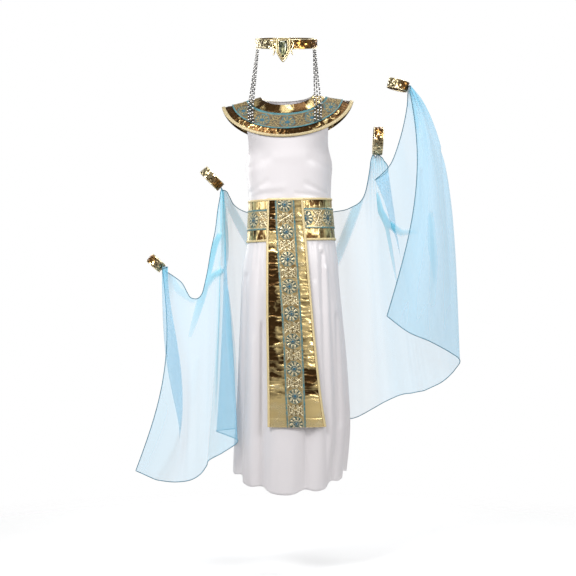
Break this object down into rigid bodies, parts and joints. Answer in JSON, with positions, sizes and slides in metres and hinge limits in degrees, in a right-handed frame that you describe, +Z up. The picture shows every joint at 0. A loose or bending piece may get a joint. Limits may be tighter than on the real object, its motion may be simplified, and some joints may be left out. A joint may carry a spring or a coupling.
{
  "type": "egyptian queen costume",
  "caption": "Child's Egyptian queen costume in its worn form: long satin dress, gold collar, belt and front panel, sheer blue drape, arm bands and a jewelled headband.",
  "frame": {"origin": "midway between the shoulder tops, where the wearer's shoulders hold the costume", "axes": "+Z up; the costume faces -Y; +X towards the costume's own left side"},
  "size_m": [0.7971, 0.3347, 1.1411],
  "materials": {
    "satin": "white satin with a soft sheen",
    "lame": "crinkled gold lame with dark brown hollows",
    "ribbon": "gold brocade ribbon with blue flowers and teal edges",
    "binding": "light gold binding, satin sheen",
    "chiffon": "sheer sky-blue chiffon with a dark blue rolled edge",
    "sequin": "gold sequin cloth",
    "setting": "gold metal-coloured moulding",
    "stone": "faceted dark green stone",
    "beads": "small silver beads"
  },
  "bodies": {
    "root": {"dress_front": "satin", "dress_back_left": "satin", "dress_back_right": "satin", "collar_front": "lame", "collar_back_left": "lame", "collar_back_right": "lame", "collar_neck_band": "binding", "collar_ribbon": "ribbon", "collar_binding": "binding", "belt": "lame", "belt_ribbon": "ribbon", "belt_binding_top": "binding", "belt_binding_bottom": "binding", "panel": "lame", "panel_ribbon": "ribbon", "panel_binding_left": "binding", "panel_binding_right": "binding", "panel_binding_top": "binding", "drape_right": "chiffon", "drape_back": "chiffon", "drape_left": "chiffon", "armband_left": "sequin", "armband_right": "sequin", "cuff_left": "sequin", "cuff_right": "sequin", "headband": "sequin", "medallion": "setting", "stone": "stone", "scroll_left": "setting", "scroll_right": "setting", "beads_left": "beads", "beads_right": "beads"}
  },
  "joints": []
}
